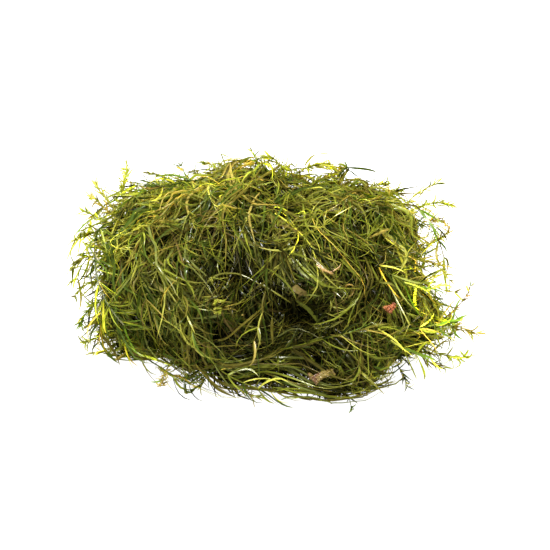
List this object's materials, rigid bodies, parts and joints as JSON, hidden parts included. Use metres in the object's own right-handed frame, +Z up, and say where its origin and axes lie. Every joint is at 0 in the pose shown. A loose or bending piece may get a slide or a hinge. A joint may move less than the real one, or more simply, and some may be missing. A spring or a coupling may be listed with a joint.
{
  "type": "guppy grass",
  "caption": "Loose heap of wet guppy grass: narrow pointed leaves in whorls on thin stems, tangled into a mound that lies flat on its underside.",
  "frame": {"origin": "centre of the bounding box at the underside, where the heap rests", "axes": "+Z up, +X along the heap's long side to the right as seen from its front, the front faces -Y"},
  "size_m": [0.2002, 0.1511, 0.0912],
  "materials": {
    "clump": "dark wet green",
    "leaf": "wet translucent green",
    "rust_leaf": "wet rust orange",
    "brown_leaf": "wet dark brown",
    "yellow_leaf": "wet yellow",
    "twig": "wet straw brown"
  },
  "bodies": {
    "root": {"tangled_clump": "clump", "sprig_01": "leaf", "sprig_02": "leaf", "sprig_03": "leaf", "sprig_04": "leaf", "sprig_05": "leaf", "sprig_06": "leaf", "sprig_07": "leaf", "sprig_08": "leaf", "sprig_09": "leaf", "sprig_10": "leaf", "sprig_11": "leaf", "sprig_12": "leaf", "sprig_13": "leaf", "sprig_14": "leaf", "sprig_15": "leaf", "sprig_16": "leaf", "sprig_17": "leaf", "sprig_18": "leaf", "sprig_19": "leaf", "sprig_20": "leaf", "sprig_21": "leaf", "sprig_22": "leaf", "sprig_23": "leaf", "sprig_24": "leaf", "sprig_25": "leaf", "sprig_26": "leaf", "rust_leaf_scrap": "rust_leaf", "brown_leaf_scrap": "brown_leaf", "curled_leaf": "yellow_leaf", "forked_twig": "twig"}
  },
  "joints": []
}
